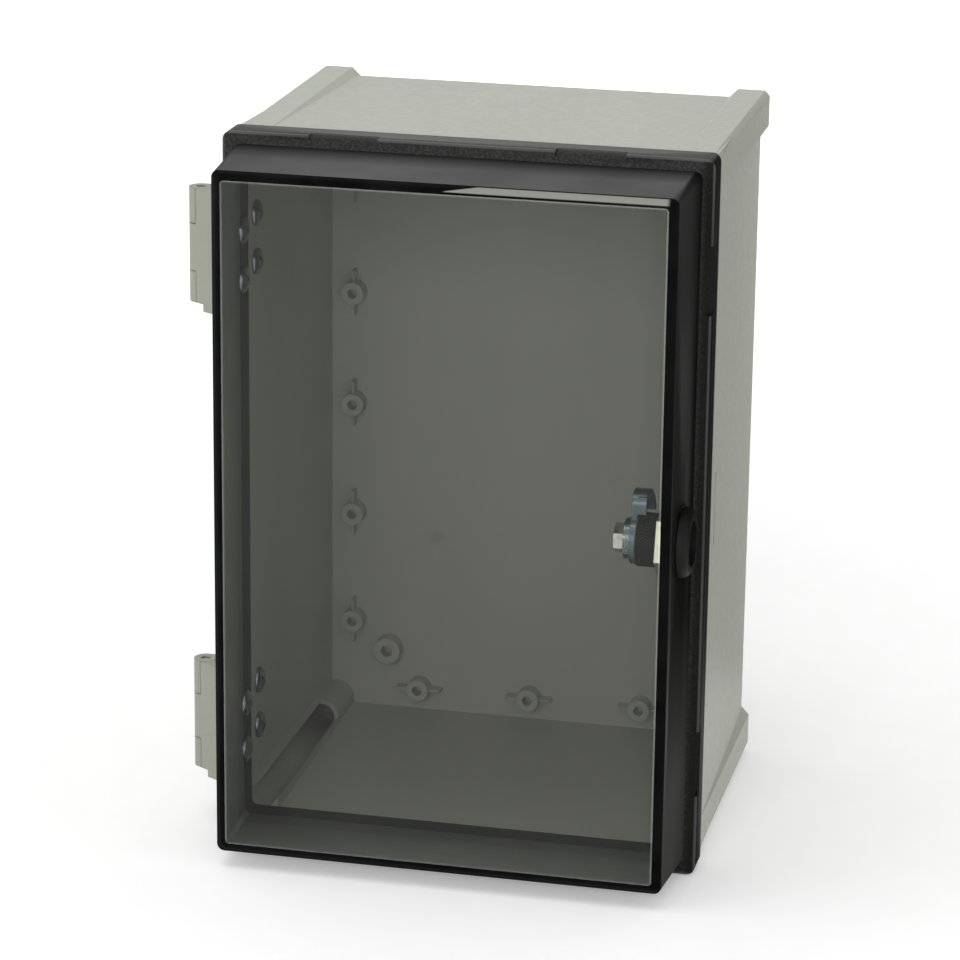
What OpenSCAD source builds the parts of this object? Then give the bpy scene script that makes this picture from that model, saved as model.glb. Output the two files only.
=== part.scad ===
// Hinged polycarbonate enclosure: a light grey base box and a smoked, domed door.
// X is the width, Y runs from the door (-) back to the wall (0), Z is up.
// The origin is the middle of the wall plane that the four rear pads stand on.

/* [Base box] */
// Width over the corner posts
case_w = 194; // [170:1:300]
// Height over the corner posts
case_h = 293.5; // [270:0.5:420]
// Depth from the parting plane to the wall
base_depth = 131; // [110:1:220]
// Thickness of the moulded walls
wall_t = 3.5; // [3:0.1:4]
// Taper of each side wall over the depth of the box
wall_draft = 2.8; // [1.5:0.1:3.4]
// Height of the four rear pads behind the back wall
pad_h = 3; // [2:0.5:5]
// Thickness of the front flange
flange_t = 3; // [2:0.5:4]

/* [Corner posts] */
// Width of a post along the top and bottom
post_w = 17.5; // [15:0.5:20]
// Height of a post along the sides
post_h = 19; // [16:0.5:20]
// Width of the sloped edge between post and wall
post_slope = 4; // [2:0.5:5]
// Chamfer on the outer edge of a post
post_chamfer = 2; // [1:0.2:3]
// Distance of the fixing axis from both outer faces of a post
fixing_inset = 9; // [8.5:0.1:10]
// Radius of the driver channel inside a post
channel_r = 5.5; // [4:0.1:5.6]
// Width of the open side of the driver channel
channel_slot = 10.4; // [6:0.2:10.6]
// Length of the closed part of the driver channel, from the wall
channel_closed = 34; // [26:1:50]
// Solid length of the post behind the driver channel
fixing_floor = 22; // [12:1:24]
// Diameter of a wall fixing hole
fixing_d = 6.5; // [4:0.5:7]

/* [Inner bosses] */
// Pitch of the bosses along the walls
boss_pitch = 50; // [44:1:50]
// Distance of the side columns from the middle
column_x = 80; // [76:0.5:82]
// Distance of the top and bottom rows from the middle
row_z = 130; // [126:0.5:131]
// Spacing of the plate bosses across
plate_x = 128; // [110:1:132]
// Spacing of the plate bosses in height
plate_z = 225; // [214:1:230]
// Height of all bosses above the back wall
boss_h = 7; // [4:0.5:10]
// Diameter of a rail boss
boss_d = 10; // [8:0.5:11]
// Diameter of the hole in a rail boss
boss_hole_d = 4.2; // [3:0.1:5]
// Diameter of a plate boss
plate_boss_d = 12; // [9:0.5:13]
// Diameter of the hole in a plate boss
plate_hole_d = 5; // [3.5:0.1:6]

/* [Door] */
// How far the door rim stands out past the posts
rim_over = 1.5; // [1.2:0.1:2.5]
// Depth of the door rim
rim_depth = 13.5; // [13:0.1:15]
// Thickness of the rim skirt
skirt_t = 6.5; // [6:0.1:7]
// Width of the shoulder between the rim edge and the dome
shoulder_w = 4.9; // [4.7:0.1:6]
// Height of the dome in front of the rim
dome_h = 40; // [38:0.5:60]
// Wall thickness of the door
door_t = 3; // [2.5:0.1:3.4]
// Wall thickness of the dome at its root
dome_root_t = 1.8; // [1.5:0.1:2.4]
// Draft of each dome wall over its height
dome_draft = 2; // [1:0.1:3]
// Width of the bevel round the window
bevel_w = 3.8; // [2:0.1:6]
// Depth of that bevel
bevel_d = 1.3; // [0.6:0.1:2]
// Gap between the door rim and the base flange
parting_gap = 0.3; // [0.2:0.1:0.6]
// Length of the rim notches
notch_l = 28; // [20:1:36]
// Distance of the top and bottom notches from the middle
notch_x = 49.5; // [40:0.5:60]

/* [Seal] */
// Thickness of the tongue on the base flange
tongue_t = 2.4; // [1.8:0.1:2.6]
// Height of the tongue
tongue_h = 2.7; // [2:0.1:2.9]
// Thickness of the foam gasket
gasket_t = 1.2; // [0.8:0.1:1.6]

/* [Hinges] */
// Distance between the two hinges
hinge_pitch = 200.5; // [150:0.5:206]
// Height of the hinge pair's middle against the case's middle
hinge_mid_z = -3.3; // [-6:0.1:3]
// Height of a hinge leaf
leaf_h = 50; // [46:0.5:60]
// Distance of the hinge axis from the side of the door rim
hinge_out = 13; // [11.5:0.5:16]
// Radius of the hinge barrel
knuckle_r = 5; // [4:0.1:5.5]
// Length of the middle knuckle
mid_knuckle_h = 19.3; // [14:0.1:24]
// How much shorter than the leaves the barrel is at its lower end
barrel_short = 3; // [2:0.1:6]
// Diameter of the hinge pin
pin_d = 4; // [3:0.1:5]
// Spacing of the two screws in a leaf
leaf_screw_pitch = 20; // [15:0.5:24]
// Depth of the base leaf's screws behind the parting plane
base_screw_in = 14; // [13:0.5:24]
// How much higher than the door leaf's screws the base leaf's screws sit
base_screw_lift = 2; // [0:0.5:3]
// Thickness of the base leaf where it lies on the wall
base_leaf_t = 2.8; // [2.4:0.1:4]
// Diameter of the domed screw heads
screw_head_d = 11; // [8:0.5:11]
// Height of the domed screw heads
screw_head_h = 2.6; // [2:0.1:3]
// Diameter of the hinge screws
screw_d = 4; // [3:0.1:4]

/* [Lock] */
// Distance of the lock axis behind the window face
lock_in = 20; // [18:0.5:22]
// Diameter of the outer rosette
rosette_d = 28; // [26:0.5:30]
// Thickness of the rosette
rosette_t = 5.1; // [3.6:0.1:6]
// Depth of the rosette's flat seat in the drafted side of the door
lock_seat_in = 1.9; // [1.9:0.1:2.2]
// Diameter of the well that the key goes into
well_d = 18.5; // [15:0.5:20]
// Diameter of the threaded barrel
barrel_d = 21.4; // [20:0.2:22]
// How far the barrel reaches in from the outside of the door
barrel_in = 15.6; // [14:0.2:20]
// Width of the hexagon nut across its flats
nut_af = 28; // [26:0.5:29]
// Thickness of the hexagon nut
nut_t = 4; // [3:0.1:4.5]
// Diameter of the turning core
core_d = 14; // [12:0.5:15]
// Outer radius of the hook on the cam
hook_r = 20; // [19.8:0.1:22]
// Width of the cam's arm
cam_arm_w = 9; // [7:0.5:9]
// Thickness of the cam's plate
cam_t = 2.4; // [1.5:0.1:2.6]
// Height of the stiffening rim on the cam
cam_rim_h = 3.4; // [1:0.2:3.8]
// Diameter of the keeper's catch pin
catch_d = 4.4; // [3:0.2:5.2]

/* [Hidden] */
$fn = 64;

// Running and seating clearances
fit = 0.05;
play = 0.3;
seal_play = 0.5;
eps = 0.01;
far = 1000;

half_w = case_w/2;
half_h = case_h/2;
post_ix = half_w - post_w;
post_iz = half_h - post_h;

// Stations along the depth
part_y = -base_depth;
wall_y0 = part_y + flange_t;
back_y = -pad_h;
floor_y = back_y - wall_t;
rim_y1 = part_y - parting_gap;
rim_y0 = rim_y1 - rim_depth;
face_y = rim_y0 - dome_h;

// Door outline
rim_hw = half_w + rim_over;
rim_hh = half_h + rim_over;
rim_r = 3.5;
dome_hw = rim_hw - shoulder_w;
dome_hh = rim_hh - shoulder_w;
dome_r = 3;
edge_groove_w = 0.8;
edge_groove_d = 0.5;
edge_lip = 1.6;
notch_d = 2.2;
notch_z = hinge_pitch/2;

// Seal: the tongue's middle line is the middle of the base wall's front edge
flange_hw = rim_hw - 0.4;
flange_hh = rim_hh - 0.4;
tongue_mid = 1.5;
tongue_hw = half_w - tongue_mid;
tongue_hh = half_h - tongue_mid;
groove_d = gasket_t + tongue_h + 0.2 - parting_gap;

// Hinge axis and screws
axis_x = -(rim_hw + hinge_out);
axis_y = part_y;
pin_r = pin_d/2;
barrel_h = leaf_h - barrel_short;
mid_drop = 0.8;
outer_knuckle_h = (barrel_h - mid_knuckle_h)/2 - play;
door_leaf_front = rim_y0 + 1.2;
door_screw_y = rim_y0 + 4.8;
skirt_x = rim_hw - skirt_t;
door_leaf_edge = 2;
door_leaf_screw = 5;
// Room that each leaf leaves round the other's knuckles
leaf_clear_r = knuckle_r + play;
base_leaf_back = part_y + base_screw_in + 8;
base_screw_y = part_y + base_screw_in;
screw_pad_x = wall_half(half_w, base_screw_y + screw_head_d/2) - wall_t;

// Lock stations, measured along X
lock_y = face_y + lock_in;
lock_seal_t = 0.5;
door_side_x = dome_hw - lock_seat_in;
nut_seat_x = dome_hw - dome_draft - door_t;
rosette_x = door_side_x + lock_seal_t;
barrel_x = door_side_x - barrel_in;
nut_x = nut_seat_x - nut_t;
barrel_r = barrel_d/2;
core_r = core_d/2;
well_depth = 2.6;
core_x = rosette_x + rosette_t - well_depth;
shank_w = 8;
cam_x = barrel_x - 0.2 - cam_t;
collar_r = 8.2;
collar_t = 2.8;
collar_x = cam_x - collar_t;
shank_x = collar_x + 0.2;
cam_screw_t = 4.2;
cam_screw_d = 5;
finger_t = 2.4;
hook_round = 6;
finger_angle = 68;

// Catch pin of the keeper, placed by the locked cam: beside the arm, inside the finger
catch_r = catch_d/2;
catch_z = -(cam_arm_w/2 + catch_r + 0.5);
catch_reach = hook_r - finger_t - catch_r - 0.6;
catch_y = lock_y + sqrt(pow(catch_reach, 2) - pow(catch_z, 2));
keeper_t = 2.4;
keeper_arm_x = nut_x - 1.4 - keeper_t;
keeper_arm_w = 7.2;
keeper_h = 31;
keeper_z = -3;
keeper_foot_l = 26;
keeper_foot_y = part_y + 6;
keeper_pad_x = wall_half(half_w, keeper_foot_y + keeper_foot_l) - wall_t - 0.3;
keeper_screw_y = keeper_foot_y + 16;
keeper_screw_dz = 9;
keeper_screw_d = 3.5;

// Half width or height of the drafted wall at a depth
function wall_half(half, y) = half - 0.1 - wall_draft*(y - wall_y0)/(back_y - wall_y0);

// Point where the line from p touches the circle round c; side is 1 or -1
function touch(p, c, r, side) =
    let (d = p - c, b = atan2(d.y, d.x), a = acos(r/norm(d)))
    c + r*[cos(b + side*a), sin(b + side*a)];

// Extrudes an XZ outline from y0 to y1
module along_y(y0, y1) {
    translate([0, y1, 0]) rotate([90, 0, 0]) linear_extrude(y1 - y0) children();
}

// Extrudes a YZ outline from x0 to x1
module along_x(x0, x1) {
    translate([x0, 0, 0]) rotate([90, 0, 90]) linear_extrude(x1 - x0) children();
}

// Cylinder along X
module rod_x(x0, x1, y, z, r) {
    translate([x0, y, z]) rotate([0, 90, 0]) cylinder(h = x1 - x0, r = r);
}

// Cylinder along Y
module rod_y(y0, y1, x, z, r) {
    translate([x, y1, z]) rotate([90, 0, 0]) cylinder(h = y1 - y0, r = r);
}

// Rectangle with round corners, given by its half sizes
module round_rect(hw, hh, r) {
    square([2*hw - 2*r, 2*hh], center = true);
    square([2*hw, 2*hh - 2*r], center = true);
    for (sx = [-1, 1], sz = [-1, 1]) translate([sx*(hw - r), sz*(hh - r)]) circle(r);
}

// Frame between two rounded rectangles
module round_frame(hw, hh, r, t) {
    difference() {
        round_rect(hw, hh, r);
        round_rect(hw - t, hh - t, max(r - t, 0.5));
    }
}

// Block with four drafted sides, inset from the wall's outer faces
module drafted_block(inset, y0, y1) {
    w0 = wall_half(half_w, y0) - inset;
    w1 = wall_half(half_w, y1) - inset;
    h0 = wall_half(half_h, y0) - inset;
    h1 = wall_half(half_h, y1) - inset;
    intersection() {
        translate([0, 0, -far/2]) linear_extrude(far)
            polygon([[-w0, y0], [w0, y0], [w1, y1], [-w1, y1]]);
        along_x(-far/2, far/2) polygon([[y0, -h0], [y1, -h1], [y1, h1], [y0, h0]]);
    }
}

module each_corner() {
    for (sx = [0, 1], sz = [0, 1]) mirror([sx, 0, 0]) mirror([0, 0, sz]) children();
}

// ---- Base box ----

// Straight post with sloped edges, proud of the drafted walls towards the wall side
module corner_post() {
    along_y(wall_y0, 0) polygon([
        [post_ix, post_iz], [post_ix, half_h - wall_draft - 1],
        [post_ix + post_slope, half_h], [half_w - post_chamfer, half_h],
        [half_w - 0.55*post_chamfer, half_h - 0.45*post_chamfer],
        [half_w, half_h - 1.15*post_chamfer], [half_w, post_iz + post_slope],
        [half_w - wall_draft - 1, post_iz]]);
}

// Round column in the inner corner that the driver channel runs in
module corner_column() {
    column_r = channel_r + 1.8;
    along_y(part_y, back_y) translate([half_w - fixing_inset, half_h - fixing_inset]) {
        circle(column_r);
        translate([0, -column_r]) square([fixing_inset, fixing_inset + column_r]);
        translate([-column_r, 0]) square([fixing_inset + column_r, fixing_inset]);
    }
}

// Round channel, open towards the inside of the box as far as its closed rear part
module driver_channel() {
    translate([half_w - fixing_inset, 0, half_h - fixing_inset]) {
        rod_y(part_y - 1, -fixing_floor, 0, 0, channel_r);
        rod_y(-fixing_floor - 1, 1, 0, 0, fixing_d/2);
        along_y(part_y - 1, -channel_closed)
            rotate(225) translate([0, -channel_slot/2]) square([2*fixing_inset, channel_slot]);
    }
}

module boss(d) {
    rod_y(floor_y - boss_h, floor_y + eps, 0, 0, d/2);
}

// Rail boss with one rib on each side, along its column or its row
module rail_boss(upright) {
    rib_l = 10;
    rib_t = 1.2;
    rib_h = 0.75*boss_h;
    boss(boss_d);
    translate([0, floor_y - rib_h/2 + eps, 0])
        cube([upright ? rib_t : 2*rib_l, rib_h, upright ? 2*rib_l : rib_t], center = true);
}

module boss_hole(d) {
    rod_y(floor_y - boss_h - 1, floor_y - 1, 0, 0, d/2);
}

module column_places() {
    for (sx = [-1, 1], i = [-2:2]) translate([sx*column_x, 0, i*boss_pitch]) children();
}

module row_places() {
    for (sz = [-1, 1], i = [-1:1]) translate([i*boss_pitch, 0, sz*row_z]) children();
}

module plate_places() {
    for (sx = [-1, 1], sz = [-1, 1]) translate([sx*plate_x/2, 0, sz*plate_z/2]) children();
}

module hinge_places(x, y, lift) {
    for (zc = [1, -1], s = [1, -1])
        translate([x, y, hinge_z(zc) + s*leaf_screw_pitch/2 + lift]) children();
}

module base_shell() color([0.70, 0.71, 0.67]) difference() {
    union() {
        difference() {
            union() {
                drafted_block(0, wall_y0 - eps, back_y);
                each_corner() corner_post();
                along_y(part_y, wall_y0) round_rect(flange_hw, flange_hh, rim_r);
            }
            drafted_block(wall_t, part_y - eps, floor_y);
        }
        intersection() {
            each_corner() corner_column();
            drafted_block(0, part_y, back_y);
        }
        along_y(part_y - tongue_h, part_y + eps)
            round_frame(tongue_hw + tongue_t/2, tongue_hh + tongue_t/2, 3, tongue_t);
        column_places() rail_boss(true);
        row_places() rail_boss(false);
        plate_places() boss(plate_boss_d);
        // Flat pads inside for the hinge screws and the keeper
        hinge_places(-screw_pad_x, base_screw_y, base_screw_lift)
            rod_x(-2, 0, 0, 0, screw_head_d/2 + 0.4);
        translate([keeper_pad_x, keeper_foot_y, keeper_z - keeper_h/2])
            cube([wall_t, keeper_foot_l, keeper_h]);
    }
    each_corner() driver_channel();
    column_places() boss_hole(boss_hole_d);
    row_places() boss_hole(boss_hole_d);
    plate_places() boss_hole(plate_hole_d);
    hinge_places(-screw_pad_x, base_screw_y, base_screw_lift)
        rod_x(-2*wall_t, 1, 0, 0, screw_d/2 + fit);
    for (s = [-1, 1])
        rod_x(keeper_pad_x - 1, keeper_pad_x + 2.8, keeper_screw_y,
            keeper_z + s*keeper_screw_dz, keeper_screw_d/2);
    // Shallow witness slot on the outside, level with the keeper
    translate([wall_half(half_w, keeper_foot_y + keeper_foot_l) - 0.3,
            keeper_foot_y + 14.5, keeper_z - keeper_h/2])
        cube([wall_t, 3, keeper_h]);
}

// ---- Lock keeper on the base ----

module lock_keeper() color([0.72, 0.74, 0.75]) difference() {
    union() {
        // Foot plate, step and arm bent from one strip
        translate([keeper_pad_x - keeper_t, keeper_foot_y, keeper_z - keeper_h/2])
            cube([keeper_t, keeper_foot_l, keeper_h]);
        translate([keeper_arm_x, keeper_foot_y, catch_z - keeper_arm_w/2])
            cube([keeper_pad_x - keeper_arm_x, keeper_t, keeper_arm_w]);
        translate([keeper_arm_x, catch_y, catch_z - keeper_arm_w/2])
            cube([keeper_t, keeper_foot_y + keeper_t - catch_y, keeper_arm_w]);
        rod_x(keeper_arm_x, keeper_arm_x + keeper_t, catch_y, catch_z, keeper_arm_w/2);
        rod_x(cam_x - 0.6, keeper_arm_x + eps, catch_y, catch_z, catch_r);
    }
    for (s = [-1, 1])
        rod_x(keeper_pad_x - keeper_t - 1, keeper_pad_x + 1, keeper_screw_y,
            keeper_z + s*keeper_screw_dz, keeper_screw_d/2 + play/2);
}

module keeper_screws() color([0.75, 0.77, 0.78])
    for (s = [-1, 1])
        translate([keeper_pad_x - keeper_t, keeper_screw_y, keeper_z + s*keeper_screw_dz])
            mirror([1, 0, 0]) screw(7, 2, keeper_screw_d, keeper_t + 2.6);

// Domed screw pointing to -X, its head's seat at the origin and its head towards +X
module screw(head_d, head_h, d, l) {
    edge = 0.5;
    recess = 0.9;
    difference() {
        union() {
            rotate([0, 90, 0]) rotate_extrude() polygon(concat(
                [[0, 0], [head_d/2, 0]],
                [for (a = [0:15:75]) [head_d/2*cos(a), edge + (head_h - edge)*sin(a)]],
                [[0, head_h]]));
            rod_x(-l, eps, 0, 0, d/2);
        }
        for (a = [45, -45]) rotate([a, 0, 0])
            translate([head_h - 1, -0.3*head_d, -recess/2]) cube([2, 0.6*head_d, recess]);
    }
}

// ---- Hinges ----

function hinge_z(s) = hinge_mid_z + s*hinge_pitch/2;

// Heights of the barrel within a hinge, from its middle
barrel_top = leaf_h/2;
barrel_low = barrel_top - barrel_h;
mid_top = barrel_top - outer_knuckle_h - play - mid_drop;
mid_low = mid_top - mid_knuckle_h;

module slab(z0, z1) {
    translate([0, 0, z0]) linear_extrude(z1 - z0) children();
}

// Plan of the base leaf: a thin plate on the drafted wall, and a web out to the barrel
module base_leaf_plan() {
    wall0 = -wall_half(half_w, wall_y0 + play);
    wall1 = -wall_half(half_w, base_leaf_back);
    web_y = axis_y + knuckle_r;
    polygon([
        [axis_x, web_y], [wall0 - base_leaf_t, web_y], [wall1 - base_leaf_t, base_leaf_back - 1],
        [wall1 - base_leaf_t + 1, base_leaf_back], [wall1, base_leaf_back],
        [wall0, wall_y0 + play], [-flange_hw - play, wall_y0 + play],
        [-flange_hw - play, axis_y + play], [axis_x, axis_y + play]]);
}

module base_leaf(s) color([0.66, 0.67, 0.62]) translate([0, 0, hinge_z(s)]) difference() {
    union() {
        slab(-leaf_h/2, leaf_h/2) base_leaf_plan();
        for (z = [[barrel_low, mid_low - play], [mid_top + play, barrel_top]])
            slab(z[0], z[1]) translate([axis_x, axis_y]) circle(knuckle_r);
    }
    // Room for the door's knuckle, and an open corner under the barrel
    slab(mid_low - play, mid_top + play) translate([axis_x, axis_y]) circle(leaf_clear_r);
    below_barrel();
    slab(-leaf_h, leaf_h) translate([axis_x, axis_y]) circle(pin_r + fit/2);
    for (k = [1, -1])
        rod_x(axis_x, 0, base_screw_y, k*leaf_screw_pitch/2 + base_screw_lift, screw_d/2 + fit);
}

// Space under the barrel, out to the leaves' lower corners
module below_barrel() {
    slab(-leaf_h, barrel_low) translate([axis_x + knuckle_r/2 - far, -far/2]) square(far);
}

// Plan of the door leaf: a wedge on the rim's side that runs tangent into the barrel
module door_leaf_plan() {
    c = [axis_x, axis_y];
    knee = [-rim_hw - door_leaf_edge, door_leaf_front];
    polygon([
        touch(knee, c, knuckle_r, -1), knee, [-rim_hw, door_leaf_front],
        [-rim_hw, rim_y1 - play], [axis_x, axis_y - 2*play]]);
}

module door_leaf(s) color([0.66, 0.67, 0.62]) translate([0, 0, hinge_z(s)]) difference() {
    union() {
        slab(-leaf_h/2, leaf_h/2) door_leaf_plan();
        slab(mid_low, mid_top) translate([axis_x, axis_y]) circle(knuckle_r);
    }
    // Room for the base's knuckles
    slab(mid_top, leaf_h) translate([axis_x, axis_y]) circle(leaf_clear_r);
    slab(-leaf_h, mid_low) translate([axis_x, axis_y]) circle(leaf_clear_r);
    below_barrel();
    slab(-leaf_h, leaf_h) translate([axis_x, axis_y]) circle(pin_r + fit);
    for (k = [1, -1])
        rod_x(-rim_hw - door_leaf_screw, 0, door_screw_y, k*leaf_screw_pitch/2, screw_d/2 + fit);
}

module hinge_pin(s) color([0.78, 0.79, 0.80]) translate([0, 0, hinge_z(s)])
    slab(barrel_low + 0.5, barrel_top - 0.5) translate([axis_x, axis_y]) circle(pin_r);

module leaf_screws(s, x, y, lift, l) color([0.75, 0.77, 0.78])
    for (k = [1, -1])
        translate([-x, y, hinge_z(s) + k*leaf_screw_pitch/2 + lift])
            screw(screw_head_d, screw_head_h, screw_d, l);

// ---- Door ----

module dome_slice(y, hw, hh, r) {
    along_y(y, y + eps) round_rect(hw, hh, r, $fn = 32);
}

// Outside of the dome: drafted walls, a bevel, and the flat window
module dome_outside() hull() {
    dome_slice(rim_y0, dome_hw, dome_hh, dome_r);
    dome_slice(face_y + bevel_d, dome_hw - dome_draft, dome_hh - dome_draft, dome_r);
    dome_slice(face_y, dome_hw - dome_draft - bevel_w, dome_hh - dome_draft - bevel_w, 1.5);
}

module dome_inside() hull() {
    dome_slice(rim_y0 + door_t + eps, dome_hw - dome_root_t, dome_hh - dome_root_t, dome_r - 1);
    dome_slice(face_y + door_t, dome_hw - dome_draft - door_t, dome_hh - dome_draft - door_t,
        dome_r - 1);
}

// Two-step notch in the rim's front edge, its middle at the origin, cut towards -Z
module rim_notch() {
    translate([-notch_l/2, rim_y0 - 1, -notch_d]) cube([notch_l, 3, 2*notch_d]);
    translate([-notch_l/2, rim_y0 - 1, -notch_d/2]) cube([notch_l, 6.2, 2*notch_d]);
}

module door_cover() color([0.30, 0.31, 0.30]) difference() {
    union() {
        difference() {
            union() {
                dome_outside();
                along_y(rim_y0, rim_y1) round_rect(rim_hw, rim_hh, rim_r);
            }
            dome_inside();
        }
        // Flat seats for the lock's rosette and nut across the drafted wall
        rod_x(nut_seat_x, door_side_x, lock_y, 0, nut_af/2 + 1);
    }
    rod_x(door_side_x, dome_hw + 1, lock_y, 0, rosette_d/2 + play);
    along_y(rim_y0 + door_t, rim_y1 + 1) round_rect(rim_hw - skirt_t, rim_hh - skirt_t, 3);
    // Seal groove in the rear of the rim
    along_y(rim_y1 - groove_d, rim_y1 + 1)
        round_frame(tongue_hw + tongue_t/2 + seal_play, tongue_hh + tongue_t/2 + seal_play,
            3 + seal_play, tongue_t + 2*seal_play);
    // Fine line behind the front lip of the rim
    along_y(rim_y0 + edge_lip, rim_y0 + edge_lip + edge_groove_w) difference() {
        square(far, center = true);
        round_rect(rim_hw - edge_groove_d, rim_hh - edge_groove_d, rim_r);
    }
    for (sx = [-1, 1], sz = [0, 1])
        mirror([0, 0, sz]) translate([sx*notch_x, 0, rim_hh]) rim_notch();
    for (sz = [-1, 1]) translate([rim_hw, 0, sz*notch_z]) rotate([0, 90, 0]) rim_notch();
    // Pockets and holes for the hinge screws
    hinge_places(0, door_screw_y, 0) {
        rod_x(-skirt_x, -skirt_x + screw_head_h, 0, 0, screw_head_d/2 + play);
        rod_x(-rim_hw - 1, -skirt_x + 1, 0, 0, screw_d/2 + fit);
    }
    rod_x(nut_seat_x - 1, dome_hw + 1, lock_y, 0, barrel_r + 0.1);
}

module door_gasket() color([0.12, 0.12, 0.12])
    along_y(rim_y1 - groove_d, rim_y1 - groove_d + gasket_t)
        round_frame(tongue_hw + tongue_t/2 + seal_play, tongue_hh + tongue_t/2 + seal_play,
            3 + seal_play, tongue_t + 2*seal_play);

// ---- Lock ----

// Rosette and barrel in one moulding; the rosette is a shallow dome with a key well
module lock_housing() color([0.09, 0.09, 0.09]) translate([0, lock_y, 0]) difference() {
    union() {
        rotate([0, 90, 0]) rotate_extrude() polygon(concat(
            [[0, rosette_x], [rosette_d/2 - 0.6, rosette_x], [rosette_d/2, rosette_x + 0.8]],
            [for (a = [15:15:75]) [rosette_d/2 - 3*(1 - cos(a)),
                rosette_x + 0.8 + (rosette_t - 0.8)*sin(a)]],
            [[rosette_d/2 - 3.6, rosette_x + rosette_t], [0, rosette_x + rosette_t]]));
        rod_x(barrel_x, rosette_x + eps, 0, 0, barrel_r);
    }
    rod_x(core_x - 0.05, core_x + well_depth + 1, 0, 0, well_d/2);
    rod_x(barrel_x - 1, core_x + 1, 0, 0, core_r + fit);
}

module lock_seal() color([0.14, 0.14, 0.14]) translate([0, lock_y, 0]) difference() {
    rod_x(door_side_x + 0.02, rosette_x, 0, 0, rosette_d/2 - 0.8);
    rod_x(door_side_x - 1, rosette_x + 1, 0, 0, barrel_r + fit);
}

module lock_nut() color([0.80, 0.80, 0.76]) translate([0, lock_y, 0]) difference() {
    translate([nut_x, 0, 0]) rotate([0, 90, 0]) rotate(-15)
        cylinder(h = nut_t, d = nut_af/cos(30), $fn = 6);
    rod_x(nut_x - 1, nut_x + nut_t + 1, 0, 0, barrel_r + fit);
}

// Turning core: a double-bit key socket in front, a square shank behind
module lock_core() color([0.11, 0.11, 0.11]) translate([0, lock_y, 0]) difference() {
    union() {
        difference() {
            rod_x(barrel_x + 0.05, core_x, 0, 0, core_r);
            rod_x(core_x - 9, core_x + 1, 0, 0, 4.4);
            translate([core_x - 9, -1.6, -6]) cube([10, 3.2, 12]);
        }
        rod_x(core_x - 10, core_x - 0.8, 0, 0, 1.5);
        translate([shank_x, -shank_w/2, -shank_w/2])
            cube([barrel_x + 0.1 - shank_x, shank_w, shank_w]);
    }
    rod_x(shank_x - 1, shank_x + 8, 0, 0, cam_screw_d/2);
}

// Hook outline at rest: arm up, finger curling back. First axis is Y, second is Z.
module hook_plan(outer, inner, hub) {
    // Centre of the round corner between the arm's leading edge and the hook's outside
    corner = [hook_round - cam_arm_w/2,
        sqrt(pow(outer - hook_round, 2) - pow(hook_round - cam_arm_w/2, 2))];
    circle(hub);
    difference() {
        union() {
            translate([-cam_arm_w/2, 0]) square([cam_arm_w, inner + 1]);
            hook_finger(outer, inner);
        }
        difference() {
            translate([-cam_arm_w/2 - 1, corner.y]) square([corner.x + cam_arm_w/2 + 1, outer]);
            translate(corner) circle(hook_round);
        }
    }
}

module hook_finger(outer, inner) {
    intersection() {
        difference() {
            circle(outer);
            circle(inner);
        }
        polygon([[0, 0], [-cam_arm_w/2, inner], [-cam_arm_w/2, 2*outer], [3*outer, 2*outer],
            3*outer*[sin(finger_angle), cos(finger_angle)]]);
    }
}

// Hook with its outer edge and the arm's leading edge turned up as a stiffening rim
module cam() color([0.62, 0.66, 0.68]) translate([0, lock_y, 0]) difference() {
    along_x(cam_x, cam_x + cam_t + cam_rim_h) hook_plan(hook_r, hook_r - finger_t, 10);
    along_x(cam_x + cam_t, cam_x + cam_t + cam_rim_h + 1) difference() {
        circle(hook_r - 1.6);
        translate([-cam_arm_w/2 - 1, barrel_r + 0.6]) square([2.6, hook_r]);
    }
    translate([cam_x - 1, -shank_w/2 - fit, -shank_w/2 - fit])
        cube([cam_t + cam_rim_h + 2, shank_w + 2*fit, shank_w + 2*fit]);
}

module cam_collar() color([0.70, 0.74, 0.76]) translate([0, lock_y, 0]) difference() {
    rod_x(collar_x, cam_x, 0, 0, collar_r);
    translate([collar_x - 1, -shank_w/2 - fit, -shank_w/2 - fit])
        cube([collar_t + 2, shank_w + 2*fit, shank_w + 2*fit]);
}

module cam_screw() color([0.75, 0.77, 0.78]) translate([0, lock_y, 0]) {
    translate([collar_x - cam_screw_t, 0, 0]) rotate([0, 90, 0]) cylinder(h = cam_screw_t, r = 6, $fn = 6);
    rod_x(collar_x - eps, shank_x + 7, 0, 0, cam_screw_d/2);
}

base_shell();
lock_keeper();
keeper_screws();
base_leaf(1);  // upper_hinge_base_leaf
base_leaf(-1);  // lower_hinge_base_leaf
hinge_pin(1);  // upper_hinge_pin
hinge_pin(-1);  // lower_hinge_pin
leaf_screws(1, screw_pad_x, base_screw_y, base_screw_lift, wall_t + base_leaf_t - 0.4);  // upper_base_leaf_screws
leaf_screws(-1, screw_pad_x, base_screw_y, base_screw_lift, wall_t + base_leaf_t - 0.4);  // lower_base_leaf_screws
door_cover();
door_gasket();
door_leaf(1);  // upper_hinge_door_leaf
door_leaf(-1);  // lower_hinge_door_leaf
leaf_screws(1, skirt_x, door_screw_y, 0, skirt_t + door_leaf_screw);  // upper_door_leaf_screws
leaf_screws(-1, skirt_x, door_screw_y, 0, skirt_t + door_leaf_screw);  // lower_door_leaf_screws
lock_housing();
lock_seal();
lock_nut();
lock_core();
cam();
cam_collar();
cam_screw();
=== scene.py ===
import math

import bmesh
import bpy
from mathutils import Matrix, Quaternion, Vector


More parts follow.
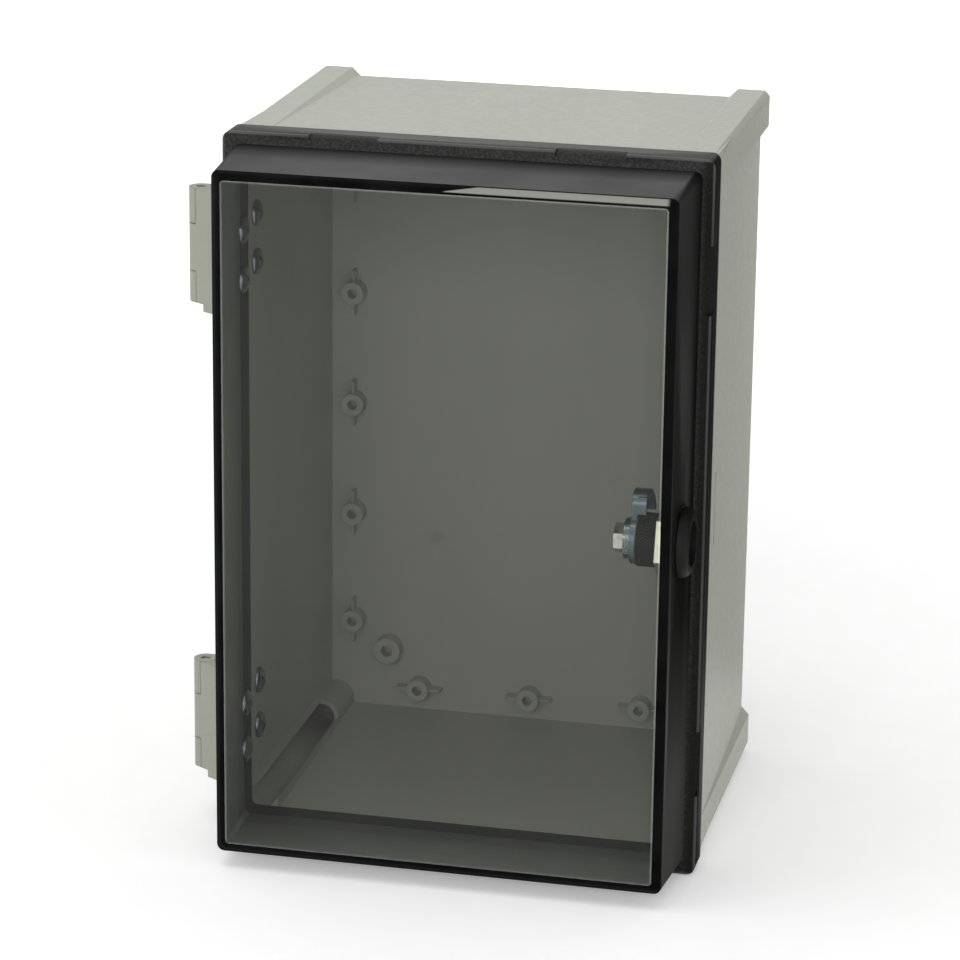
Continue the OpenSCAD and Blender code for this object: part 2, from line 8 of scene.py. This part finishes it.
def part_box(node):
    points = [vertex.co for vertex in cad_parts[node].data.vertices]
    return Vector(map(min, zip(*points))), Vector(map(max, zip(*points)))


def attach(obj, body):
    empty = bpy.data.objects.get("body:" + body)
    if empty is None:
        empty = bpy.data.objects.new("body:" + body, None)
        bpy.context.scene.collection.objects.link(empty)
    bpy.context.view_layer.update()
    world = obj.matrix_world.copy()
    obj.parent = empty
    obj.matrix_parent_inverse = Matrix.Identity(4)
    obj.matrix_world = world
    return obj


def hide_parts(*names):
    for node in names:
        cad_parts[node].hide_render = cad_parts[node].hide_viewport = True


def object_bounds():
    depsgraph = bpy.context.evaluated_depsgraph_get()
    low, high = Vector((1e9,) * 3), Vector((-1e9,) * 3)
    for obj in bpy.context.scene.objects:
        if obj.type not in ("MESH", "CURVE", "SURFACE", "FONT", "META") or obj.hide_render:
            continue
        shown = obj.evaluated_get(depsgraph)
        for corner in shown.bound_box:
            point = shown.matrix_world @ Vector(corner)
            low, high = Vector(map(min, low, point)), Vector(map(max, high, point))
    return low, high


# Hinged polycarbonate enclosure, standing upright on a pale floor.
# Lengths are in metres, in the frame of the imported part: -Y is the door, +X the lock side
# and +Z up. Colours are linear red, green and blue.

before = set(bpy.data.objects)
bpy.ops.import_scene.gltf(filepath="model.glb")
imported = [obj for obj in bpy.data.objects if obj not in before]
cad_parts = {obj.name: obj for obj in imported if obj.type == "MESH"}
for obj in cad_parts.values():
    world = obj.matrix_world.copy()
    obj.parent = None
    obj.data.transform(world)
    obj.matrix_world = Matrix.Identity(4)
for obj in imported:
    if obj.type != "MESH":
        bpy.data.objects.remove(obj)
cad_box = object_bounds()

# ---- Named sizes ----

DOOR_LO, DOOR_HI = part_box("door_cover")
BASE_LO, BASE_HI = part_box("base_shell")

# Door: its rim, the dome that stands on it, and the window in the dome's front
RIM_DEPTH = 0.0135
RIM_Y = DOOR_HI.y - RIM_DEPTH
FACE_Y = DOOR_LO.y
DOME_INSET = 0.0049             # the dome's root inside the rim's outline
DOME_X = DOOR_HI.x - DOME_INSET
DOME_Z = DOOR_HI.z - DOME_INSET
DOME_DRAFT = 0.002              # how much narrower each side is at the front
WINDOW_T = 0.003
BEVEL_W = 0.0038
BEVEL_D = 0.0013
PANE_X = DOME_X - DOME_DRAFT - BEVEL_W
PANE_Z = DOME_Z - DOME_DRAFT - BEVEL_W

# Telling the door's surfaces apart
ZONES = ("window", "bevel", "side", "side_inner", "rim")
WALL_SKIN = 0.0008              # deeper than this under the dome's outline is its inside
FLUSH = 0.0003                  # how near a flat face lies to the plane it belongs to
ROOT_SLACK = 0.0001
FACING = 0.98                   # a normal this close to Y faces the front or the back
BEVEL_FACING = 0.1

# Parts of the dome's walls, along X
LOCK_WALL = (DOME_X - 0.0034, DOME_X - 0.0024)
HINGE_WALL = (-0.085, -0.088)

# Painted lit strip of the top bevel: where it starts and is full, its lower edge, its
# height
STRIP_FROM = 0.0
STRIP_FULL = 0.014
STRIP_LOW = PANE_Z + 0.0008
STRIP_H = 0.0023
STRIP_SOFT = 0.0003

# Base: its back wall, and the driver channels in its corners
INNER_BACK_Y = -0.0065
CHANNEL_INSET = 0.0101
CHANNEL_X = (BASE_HI.x - BASE_LO.x) / 2 - CHANNEL_INSET
CHANNEL_Z = (BASE_HI.z - BASE_LO.z) / 2 - CHANNEL_INSET
CHANNEL_R = 0.0055
CHANNEL_DARK = (-0.075, -0.030)     # along Y: where the shade starts and where it is full

# Gate marks on the back wall: x, z, radius, strength
GATE_MARKS = ((-0.043, -0.060, 0.0042, 0.22), (0.036, -0.0265, 0.005, 0.12))

# Clean-up of the CAD mesh
MERGE_DISTANCE = 2e-6
FLAT_ANGLE = math.radians(0.4)
SHARP_ANGLE = math.radians(32.0)

# ---- Camera, floor and light ----

CAM_PLACE = Vector((0.3328, -1.5864, 0.4730))
CAM_TARGET = Vector((-0.0017, -0.1048, -0.0003))
CAM_ROLL = math.radians(-0.699)
CAM_LENS = 145.6
CAM_SENSOR = 36.0

FLOOR_Z = cad_box[0].z
FLOOR_GAP = 0.0005
FLOOR_HALF = 6.0
WORLD_LEVEL = 0.55              # the world's light on the object; 1 where it is seen

# Name, place, target, width, height, watts
LAMPS = (
    ("key_above", (-0.4, -0.5, 1.9), (0, -0.1, 0), 1.4, 1.0, 9.5),
    ("fill_left", (-1.9, -1.3, 0.5), (0, -0.1, 0), 1.2, 1.4, 4.0),
    ("fill_right", (1.9, -0.5, 0.0), (0, -0.1, -0.05), 1.0, 1.0, 4.5),
    ("fill_front", (0.1, -2.6, 0.9), (0, -0.1, 0), 1.2, 0.8, 19.0),
)

# Black card behind the lock side: left, right, place along Y, top
FLAG_LEFT, FLAG_RIGHT, FLAG_Y, FLAG_TOP = 0.115, 1.2, 0.09, 0.8

# ---- Colours ----

BASE_GREY = (0.46, 0.475, 0.41)
HINGE_GREY = (0.345, 0.355, 0.295)
PANE_TINT = (0.050, 0.052, 0.049), (0.062, 0.065, 0.060)
PANE_EDGE_HIGHLIGHT = (0.70, 0.73, 0.70)
PANE_ALPHA = 0.2                # what the pane itself adds over what is seen through it
# Dome walls, root and tip: the rise from dark at the root to light at the tip is painted
# shade and light; inside, the far lighter colours are painted light standing in for light
# shining through the smoked wall
OUTER_WALL_SHADE_TO_LIGHT = (0.003, 0.0031, 0.003), (0.016, 0.0162, 0.0152)
INNER_WALL_SHADE_TO_LIGHT = (0.24, 0.25, 0.24), (0.72, 0.745, 0.71)
INNER_RIM_SHADE = (0.23, 0.245, 0.255)
FLOOR_BOUNCE = (0.036, 0.037, 0.035)
BEVEL_BLACK = (0.002, 0.0022, 0.002), (0.005, 0.0055, 0.005)
BEVEL_PAINTED_LIGHT = (0.27, 0.275, 0.245)
RIM_GRAIN = (0.005, 0.005, 0.0047), (0.030, 0.030, 0.0285)
RIM_SPARK = (0.09, 0.09, 0.086)
# Rim: painted shade on the lock side, a painted highlight on the lip, painted light on the
# top band
RIM_SHADE = (0.010, 0.0105, 0.0095)
RIM_LIP_HIGHLIGHT = (0.13, 0.13, 0.125)
RIM_TOP_LIGHT = (0.12, 0.12, 0.115)
LOCK_BLACK = (0.003, 0.003, 0.0027), (0.006, 0.006, 0.0055)
FOAM = (0.012, 0.012, 0.012), (0.03, 0.03, 0.03)
FLOOR_WHITE = (0.92, 0.92, 0.92), (0.95, 0.95, 0.95)
FLAG_CLOTH = (0.02, 0.02, 0.02), (0.035, 0.035, 0.035)
WHITE = (1.0, 1.0, 1.0)

# Frozen-in stress shows as faint bands of these colours
STRESS_BANDS = ((0.30, (0.03, 0.04, 0.09)), (0.42, (0.08, 0.04, 0.07)),
                (0.52, (0.10, 0.08, 0.03)), (0.62, (0.04, 0.08, 0.05)),
                (0.72, (0.03, 0.05, 0.09)))


# ---- Node helpers ----

class Graph:
    """Builds one material's node tree round its Principled shader."""

    def __init__(self, name):
        self.mat = bpy.data.materials.new(name)
        self.mat.use_nodes = True
        self.tree = self.mat.node_tree
        self.shader = self.tree.nodes["Principled BSDF"]
        self.place = self.node("TexCoord").outputs["Object"]
        split = self.node("SeparateXYZ")
        self.feed(split.inputs[0], self.place)
        self.axis = dict(zip("xyz", split.outputs))

    def node(self, kind):
        return self.tree.nodes.new("ShaderNode" + kind)

    def feed(self, socket, value):
        """Links a socket, or sets a number, a vector or a colour."""
        if isinstance(value, bpy.types.NodeSocket):
            self.tree.links.new(value, socket)
        elif socket.type == "RGBA":
            socket.default_value = (*value, 1.0)
        else:
            socket.default_value = value

    def set(self, **values):
        for name, value in values.items():
            self.feed(self.shader.inputs[name.replace("_", " ")], value)

    def math(self, operation, *values):
        n = self.node("Math")
        n.operation = operation
        for socket, value in zip(n.inputs, values):
            self.feed(socket, value)
        return n.outputs[0]

    def product(self, first, *others):
        for other in others:
            first = self.math("MULTIPLY", first, other)
        return first

    def hypotenuse(self, a, b):
        return self.math("SQRT", self.math("ADD", self.product(a, a), self.product(b, b)))

    def inside(self, axis, edge):
        """How far a point lies inside a pair of edges mirrored about the middle."""
        return self.math("SUBTRACT", edge, self.math("ABSOLUTE", self.axis[axis]))

    def remap(self, value, a0, a1, b0=0.0, b1=1.0):
        n = self.node("MapRange")
        n.clamp = True
        for socket, v in zip(n.inputs, (value, a0, a1, b0, b1)):
            self.feed(socket, v)
        return n.outputs[0]

    def stretched(self, sx, sy, sz):
        n = self.node("Mapping")
        self.feed(n.inputs["Vector"], self.place)
        self.feed(n.inputs["Scale"], (sx, sy, sz))
        return n.outputs[0]

    def noise(self, scale, detail=2.0, rough=0.5, vector=None):
        n = self.node("TexNoise")
        self.feed(n.inputs["Vector"], vector or self.place)
        self.feed(n.inputs["Scale"], scale)
        self.feed(n.inputs["Detail"], detail)
        self.feed(n.inputs["Roughness"], rough)
        return n.outputs["Fac"]

    def cells(self, scale):
        n = self.node("TexVoronoi")
        self.feed(n.inputs["Vector"], self.place)
        self.feed(n.inputs["Scale"], scale)
        return n.outputs["Distance"]

    def mix(self, factor, a, b):
        n = self.node("Mix")
        n.data_type = "RGBA"
        for index, value in ((0, factor), (6, a), (7, b)):
            self.feed(n.inputs[index], value)
        return n.outputs[2]

    def mottled(self, pattern, low, high, colours):
        """Goes from the first colour to the second as the pattern rises."""
        return self.mix(self.remap(pattern, low, high), *colours)

    def ramp(self, factor, stops):
        n = self.node("ValToRGB")
        self.feed(n.inputs[0], factor)
        elements = n.color_ramp.elements
        while len(elements) < len(stops):
            elements.new(0.5)
        for element, (at, colour) in zip(elements, stops):
            element.position = at
            element.color = (*colour, 1.0)
        return n.outputs[0]

    def rounded(self, radius):
        """Edges that catch the light as if they had this radius."""
        n = self.node("Bevel")
        n.samples = 4
        self.feed(n.inputs["Radius"], radius)
        return n.outputs[0]

    def bump(self, height, distance, strength, normal=None):
        n = self.node("Bump")
        self.feed(n.inputs["Height"], height)
        self.feed(n.inputs["Distance"], distance)
        self.feed(n.inputs["Strength"], strength)
        if normal is not None:
            self.feed(n.inputs["Normal"], normal)
        return n.outputs[0]


def scaled(colour, k):
    return tuple(c * k for c in colour)


def background_rays(tree):
    """1 for the rays that look at the background, directly or in gloss and glass."""
    path = tree.nodes.new("ShaderNodeLightPath")
    seen = path.outputs["Is Camera Ray"]
    for kind in ("Is Glossy Ray", "Is Transmission Ray"):
        either = tree.nodes.new("ShaderNodeMath")
        either.operation = "MAXIMUM"
        tree.links.new(seen, either.inputs[0])
        tree.links.new(path.outputs[kind], either.inputs[1])
        seen = either.outputs[0]
    return seen


# ---- Materials ----

def with_gate_marks(g, shade, colour):
    """Soft dark spots on the back wall, where the plastic entered the mould."""
    on_back = g.remap(g.axis["y"], INNER_BACK_Y - 0.002, INNER_BACK_Y - 0.001)
    for x, z, radius, strength in GATE_MARKS:
        away = g.hypotenuse(g.math("SUBTRACT", g.axis["x"], x),
                            g.math("SUBTRACT", g.axis["z"], z))
        near = g.remap(away, 0.35 * radius, radius, strength, 0.0)
        shade = g.mix(g.product(near, on_back), shade, scaled(colour, 0.45))
    return shade


def with_painted_channel_shade(g, shade, colour):
    """Painted shade: the closed rear part of the driver channels is darkened, as little
    light reaches it.
    """
    away = g.hypotenuse(g.inside("x", CHANNEL_X), g.inside("z", CHANNEL_Z))
    bore = g.remap(away, CHANNEL_R + 0.0001, CHANNEL_R + 0.0002, 1.0, 0.0)
    deep = g.remap(g.axis["y"], *CHANNEL_DARK, 0.0, 0.8)
    return g.mix(g.product(bore, deep), shade, scaled(colour, 0.12))


def moulded_grey(name, colour, edge_radius, is_base=False):
    """Light grey moulded plastic: fine satin grain and faint flow streaks."""
    g = Graph(name)
    streaks = g.noise(9.0, 3.0, 0.55, g.stretched(1.0, 0.25, 0.35))
    specks = g.noise(620.0, 3.0, 0.6)
    grain = g.noise(2600.0, 2.0, 0.6)
    shade = g.mottled(streaks, 0.35, 0.65, (scaled(colour, 0.965), scaled(colour, 1.03)))
    shade = g.mix(g.remap(specks, 0.42, 0.62, 0.0, 0.35), shade, scaled(colour, 0.9))
    if is_base:
        shade = with_gate_marks(g, shade, colour)
        shade = with_painted_channel_shade(g, shade, colour)
    g.set(Base_Color=shade, Roughness=g.remap(g.noise(260.0), 0.3, 0.7, 0.38, 0.52),
          Specular_IOR_Level=0.3,
          Normal=g.bump(grain, 0.00004, 0.5, g.rounded(edge_radius)))
    return g.mat


def smoked_window(name):
    """Polished smoked pane: thin tint, faint flow lines and a painted highlight as a pale
    line along its edge.
    """
    g = Graph(name)
    flow = g.noise(14.0, 2.0, 0.5, g.stretched(2.2, 1.0, 0.25))
    haze = g.noise(45.0, 3.0, 0.6)
    to_edge = g.math("MINIMUM", g.inside("x", PANE_X), g.inside("z", PANE_Z))
    # Painted highlight: a pale line on the front face along the pane's edge
    line = g.product(g.remap(to_edge, 0.0003, 0.0008, 1.0, 0.0),
                     g.remap(g.axis["y"], FACE_Y + 0.0005, FACE_Y + 0.001, 1.0, 0.0))
    g.set(Base_Color=g.mix(line, g.mottled(flow, 0.35, 0.65, PANE_TINT), PANE_EDGE_HIGHLIGHT),
          Roughness=g.remap(haze, 0.3, 0.75, 0.03, 0.055), IOR=1.5,
          Specular_IOR_Level=0.25, Alpha=PANE_ALPHA)
    g.mat.surface_render_method = "BLENDED"
    return g.mat


def inner_wall_shade(g, shade):
    """Inside, the rim's wall is darkened with painted shade, as the rim and the hinge
    leaves behind it block the light, and the hinge side shows faint colour bands of stress."""
    deep = g.remap(g.axis["y"], RIM_Y - 0.009, RIM_Y - 0.006, 0.0, 0.7)
    shade = g.mix(deep, shade, INNER_RIM_SHADE)
    bands = g.ramp(g.noise(16.0, 1.0, 0.5, g.stretched(1.0, 3.0, 1.0)), STRESS_BANDS)
    return g.mix(g.remap(g.axis["x"], *HINGE_WALL, 0.0, 0.10), shade, bands)


def outer_wall_floor_light(g, shade):
    """Painted light: outside, low on the lock side, the wall is lightened as by light
    coming back off the floor.
    """
    low = g.remap(g.axis["z"], -0.03, -0.10)
    return g.mix(g.product(low, g.remap(g.axis["x"], *LOCK_WALL)), shade, FLOOR_BOUNCE)


def frosted_side(name, outside):
    """Textured smoked wall of the dome: painted shade, dark at its root, and painted light
    towards the window.
    """
    g = Graph(name)
    clouds = g.noise(30.0, 3.0, 0.6)
    grain = g.noise(3200.0, 2.0, 0.6)
    root, tip = OUTER_WALL_SHADE_TO_LIGHT if outside else INNER_WALL_SHADE_TO_LIGHT
    shade = g.mottled(g.axis["y"], RIM_Y, FACE_Y, (root, tip))
    shade = g.mix(g.remap(clouds, 0.3, 0.7, 0.0, 0.3), shade, scaled(root, 0.9))
    shade = (outer_wall_floor_light if outside else inner_wall_shade)(g, shade)
    gloss = g.remap(g.axis["y"], RIM_Y, RIM_Y + 0.45 * (FACE_Y - RIM_Y), 0.04, 0.5)
    lock_side = g.remap(g.axis["x"], *LOCK_WALL, 1.0, 0.22)
    g.set(Base_Color=shade, Roughness=g.remap(clouds, 0.3, 0.7, 0.36, 0.48),
          Specular_IOR_Level=g.product(gloss, lock_side),
          Normal=g.bump(grain, 0.00003, 0.5, g.rounded(0.0006)))
    return g.mat


def black_bevel(name):
    """Polished bevel round the window: black where the wall is seen edge-on, with a painted
    strip of light along the top from the middle to the lock side, where light shines
    through."""
    g = Graph(name)
    waves = g.noise(60.0)
    span = g.remap(g.axis["x"], STRIP_FROM, STRIP_FULL)
    top = g.math("ADD", STRIP_LOW + 0.0004, g.product(span, STRIP_H))
    lit = g.product(g.remap(g.axis["z"], STRIP_LOW, STRIP_LOW + STRIP_SOFT),
                    g.remap(g.math("SUBTRACT", top, g.axis["z"]), 0.0, STRIP_SOFT),
                    g.remap(g.axis["x"], PANE_X - 0.001, PANE_X + 0.0005, 1.0, 0.0),
                    g.remap(span, 0.0, 0.1))
    g.set(Base_Color=g.mix(lit, g.mottled(waves, 0.35, 0.65, BEVEL_BLACK), BEVEL_PAINTED_LIGHT),
          Roughness=g.remap(waves, 0.3, 0.7, 0.12, 0.2), Specular_IOR_Level=0.02,
          Normal=g.rounded(0.0003))
    return g.mat


def grained_rim(name):
    """Spark-eroded texture of the door's rim: dark grey with fine pale grain, with painted
    shade, a painted highlight and painted light.
    """
    g = Graph(name)
    grain = g.noise(1150.0, 3.0, 0.65)
    shade = g.mottled(grain, 0.44, 0.62, RIM_GRAIN)
    shade = g.mix(g.remap(g.cells(1500.0), 0.0, 0.25, 0.45, 0.0), shade, RIM_SPARK)
    # On the lock side the grain gets painted shade, apart from the lip along the rim's edge
    lock_side = g.remap(g.axis["x"], DOME_X - 0.001, DOME_X + 0.002, 0.0, 0.75)
    shade = g.mix(lock_side, shade, RIM_SHADE)
    # Painted highlight: a pale line along the rim's front edge
    to_edge = g.math("MINIMUM", g.inside("x", DOOR_HI.x), g.inside("z", DOOR_HI.z))
    lip = g.product(g.remap(to_edge, 0.0006, 0.0010, 0.6, 0.0),
                    g.remap(g.axis["y"], RIM_Y + 0.0002, RIM_Y + 0.0006, 1.0, 0.0))
    shade = g.mix(lip, shade, RIM_LIP_HIGHLIGHT)
    # The top band of the rim gets painted light, as it catches more light from above
    top = g.remap(g.axis["z"], DOOR_HI.z - 0.0012, DOOR_HI.z - 0.0004, 0.0, 0.5)
    shade = g.mix(top, shade, RIM_TOP_LIGHT)
    g.set(Base_Color=shade, Roughness=g.remap(grain, 0.3, 0.7, 0.45, 0.6),
          Specular_IOR_Level=g.remap(lock_side, 0.0, 0.75, 0.2, 0.06),
          Normal=g.bump(grain, 0.00016, 0.8, g.rounded(0.0005)))
    return g.mat


def black_plastic(name):
    """Satin black moulded plastic."""
    g = Graph(name)
    clouds = g.noise(180.0, 3.0, 0.6)
    grain = g.noise(2200.0, 2.0, 0.6)
    g.set(Base_Color=g.mottled(clouds, 0.3, 0.7, LOCK_BLACK),
          Roughness=g.remap(clouds, 0.3, 0.7, 0.5, 0.6), Specular_IOR_Level=0.16,
          Normal=g.bump(grain, 0.00001, 0.3, g.rounded(0.0005)))
    return g.mat


def foam_seal(name):
    """Poured foam gasket with a fine open skin."""
    g = Graph(name)
    pores = g.cells(1400.0)
    g.set(Base_Color=g.mottled(pores, 0.1, 0.5, FOAM),
          Roughness=g.remap(pores, 0.1, 0.5, 0.95, 0.8), Specular_IOR_Level=0.2,
          Normal=g.bump(pores, 0.0001, 0.6))
    return g.mat


def zinc(name, light, dark, rough):
    """Zinc-plated steel: bluish patches of plating and fine tumbling scratches."""
    g = Graph(name)
    patches = g.noise(260.0, 3.0, 0.6)
    scratches = g.noise(1900.0, 2.0, 0.7, g.stretched(1.0, 0.3, 1.0))
    g.set(Base_Color=g.mottled(patches, 0.32, 0.68, (light, dark)), Metallic=1.0,
          Roughness=g.remap(patches, 0.3, 0.7, *rough),
          Normal=g.bump(scratches, 0.00003, 0.4, g.rounded(0.0003)))
    return g.mat


def pale_floor(name):
    """Pale paper that fades to white away from the object and keeps its shadow."""
    g = Graph(name)
    paper = g.noise(60.0, 3.0, 0.6)
    fade = g.remap(g.hypotenuse(g.axis["x"], g.axis["y"]), 0.25, 1.6, 0.25, 1.0)
    g.set(Base_Color=g.mottled(paper, 0.3, 0.7, FLOOR_WHITE), Roughness=0.9,
          Specular_IOR_Level=0.1, Emission_Color=WHITE,
          Emission_Strength=g.product(background_rays(g.tree), fade))
    return g.mat


def flag_black(name):
    """Black studio cloth."""
    g = Graph(name)
    g.set(Base_Color=g.mix(g.noise(40.0, 3.0, 0.6), *FLAG_CLOTH), Roughness=1.0,
          Specular_IOR_Level=0.0)
    return g.mat


# ---- Pieces ----

def add_object(name, data):
    obj = bpy.data.objects.new(name, data)
    bpy.context.scene.collection.objects.link(obj)
    return obj


def mesh_object(name, bm):
    """Turns a bmesh into an object of the scene."""
    mesh = bpy.data.meshes.new(name)
    bm.to_mesh(mesh)
    bm.free()
    return add_object(name, mesh)


def remade(node, name):
    """A clean copy of a CAD node's mesh, with doubles merged, flat faces joined and
    smooth shading between its sharp edges."""
    bm = bmesh.new()
    bm.from_mesh(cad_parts[node].data)
    bmesh.ops.remove_doubles(bm, verts=bm.verts, dist=MERGE_DISTANCE)
    bmesh.ops.dissolve_limit(bm, angle_limit=FLAT_ANGLE, verts=bm.verts, edges=bm.edges)
    bmesh.ops.triangulate(bm, faces=[f for f in bm.faces if len(f.verts) > 4])
    obj = mesh_object(name, bm)
    for p in obj.data.polygons:
        p.use_smooth = True
    obj.data.set_sharp_from_angle(angle=SHARP_ANGLE)
    return obj


def door_zone(centre, normal):
    """Which surface of the one-piece door a face belongs to."""
    if normal.y < -FACING and centre.y < FACE_Y + FLUSH:
        return "window"
    if normal.y > FACING and centre.y < FACE_Y + WINDOW_T + FLUSH:
        return "window"
    if centre.y < FACE_Y + BEVEL_D and normal.y < -BEVEL_FACING:
        return "bevel"
    if centre.y > RIM_Y - ROOT_SLACK:
        return "rim"
    from_root = min(max((RIM_Y - centre.y) / (RIM_Y - FACE_Y), 0.0), 1.0)
    skin = DOME_DRAFT * from_root + WALL_SKIN
    if abs(centre.x) < DOME_X - skin and abs(centre.z) < DOME_Z - skin:
        return "side_inner"
    return "side"


def build_door():
    door = remade("door_cover", "door_moulding")
    for zone in ZONES:
        door.data.materials.append(MAT[zone])
    for p in door.data.polygons:
        p.material_index = ZONES.index(door_zone(p.center, p.normal))
    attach(door, "door")
    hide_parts("door_cover")


def dress(nodes, material):
    """Gives CAD nodes a procedural material; their meshes stay as they are."""
    for name in nodes:
        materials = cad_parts[name].data.materials
        materials.clear()
        materials.append(material)


# ---- Studio ----

def build_camera():
    data = bpy.data.cameras.new("camera")
    data.lens = CAM_LENS
    data.sensor_width = CAM_SENSOR
    data.clip_end = 50.0
    cam = add_object("camera", data)
    sight = CAM_TARGET - CAM_PLACE
    cam.location = CAM_PLACE
    cam.rotation_mode = "QUATERNION"
    cam.rotation_quaternion = (Quaternion(sight.normalized(), CAM_ROLL)
                               @ sight.to_track_quat("-Z", "Y"))
    bpy.context.scene.camera = cam


def build_lamps():
    for name, place, target, width, height, watts in LAMPS:
        data = bpy.data.lights.new(name, "AREA")
        data.shape = "RECTANGLE"
        data.size = width
        data.size_y = height
        data.energy = watts
        obj = add_object(name, data)
        obj.location = place
        obj.rotation_mode = "QUATERNION"
        obj.rotation_quaternion = (Vector(target) - Vector(place)).to_track_quat("-Z", "Y")


def build_flag():
    """A black card behind the lock side, seen only in reflections, as in a studio."""
    bm = bmesh.new()
    corners = ((FLAG_LEFT, FLAG_Y, FLOOR_Z), (FLAG_RIGHT, FLAG_Y, FLOOR_Z),
               (FLAG_RIGHT, FLAG_Y, FLAG_TOP), (FLAG_LEFT, FLAG_Y, FLAG_TOP))
    bm.faces.new([bm.verts.new(v) for v in corners])
    bmesh.ops.subdivide_edges(bm, edges=bm.edges, cuts=4, use_grid_fill=True)
    card = mesh_object("flag_card", bm)
    card.data.materials.append(MAT["flag"])
    card.visible_camera = False
    card.visible_diffuse = False
    card.visible_shadow = False


def build_world():
    world = bpy.data.worlds.new("studio")
    bpy.context.scene.world = world
    world.use_nodes = True
    tree = world.node_tree
    back = tree.nodes["Background"]
    back.inputs["Color"].default_value = (*WHITE, 1.0)
    level = tree.nodes.new("ShaderNodeMapRange")
    level.inputs["To Min"].default_value = WORLD_LEVEL
    level.inputs["To Max"].default_value = 1.0
    tree.links.new(background_rays(tree), level.inputs["Value"])
    tree.links.new(level.outputs[0], back.inputs["Strength"])


def build_floor():
    bm = bmesh.new()
    bmesh.ops.create_grid(bm, x_segments=24, y_segments=24, size=FLOOR_HALF)
    floor = mesh_object("floor", bm)
    floor.location = (0, 0, FLOOR_Z - FLOOR_GAP)
    floor.data.materials.append(MAT["floor"])


# ---- Scene ----

MAT = {
    "grey": moulded_grey("base_grey", BASE_GREY, 0.0007, is_base=True),
    "hinge": moulded_grey("hinge_grey", HINGE_GREY, 0.0006),
    "window": smoked_window("smoked_window"),
    "bevel": black_bevel("window_bevel"),
    "side": frosted_side("dome_side", outside=True),
    "side_inner": frosted_side("dome_side_inner", outside=False),
    "rim": grained_rim("door_rim"),
    "lock": black_plastic("lock_black"),
    "core": black_plastic("lock_core_black"),
    "foam": foam_seal("gasket_foam"),
    "zinc": zinc("screw_zinc", (0.36, 0.40, 0.41), (0.24, 0.275, 0.29), (0.16, 0.28)),
    "cam": zinc("cam_zinc", (0.15, 0.19, 0.20), (0.10, 0.13, 0.14), (0.28, 0.45)),
    "collar": zinc("collar_zinc", (0.25, 0.30, 0.295), (0.15, 0.185, 0.19), (0.2, 0.35)),
    "bolt": zinc("bolt_zinc", (0.78, 0.76, 0.66), (0.55, 0.55, 0.50), (0.2, 0.35)),
    "nut": zinc("nut_zinc", (0.70, 0.69, 0.52), (0.58, 0.58, 0.44), (0.3, 0.45)),
    "floor": pale_floor("floor_pale"),
    "flag": flag_black("flag_black"),
}

HINGES = ("upper", "lower")
SIDES = ("base", "door")

build_door()
dress(["base_shell"], MAT["grey"])
dress([f"{h}_hinge_{side}_leaf" for h in HINGES for side in SIDES], MAT["hinge"])
dress([f"{h}_{side}_leaf_screws" for h in HINGES for side in SIDES], MAT["zinc"])
dress([f"{h}_hinge_pin" for h in HINGES] + ["keeper_screws"], MAT["zinc"])
dress(["lock_keeper", "cam"], MAT["cam"])
dress(["cam_collar"], MAT["collar"])
dress(["cam_screw"], MAT["bolt"])
dress(["lock_nut"], MAT["nut"])
dress(["lock_housing"], MAT["lock"])
dress(["lock_core"], MAT["core"])
dress(["lock_seal", "door_gasket"], MAT["foam"])

build_floor()
build_world()
build_lamps()
build_flag()
build_camera()

scene = bpy.context.scene
scene.view_settings.view_transform = "Standard"
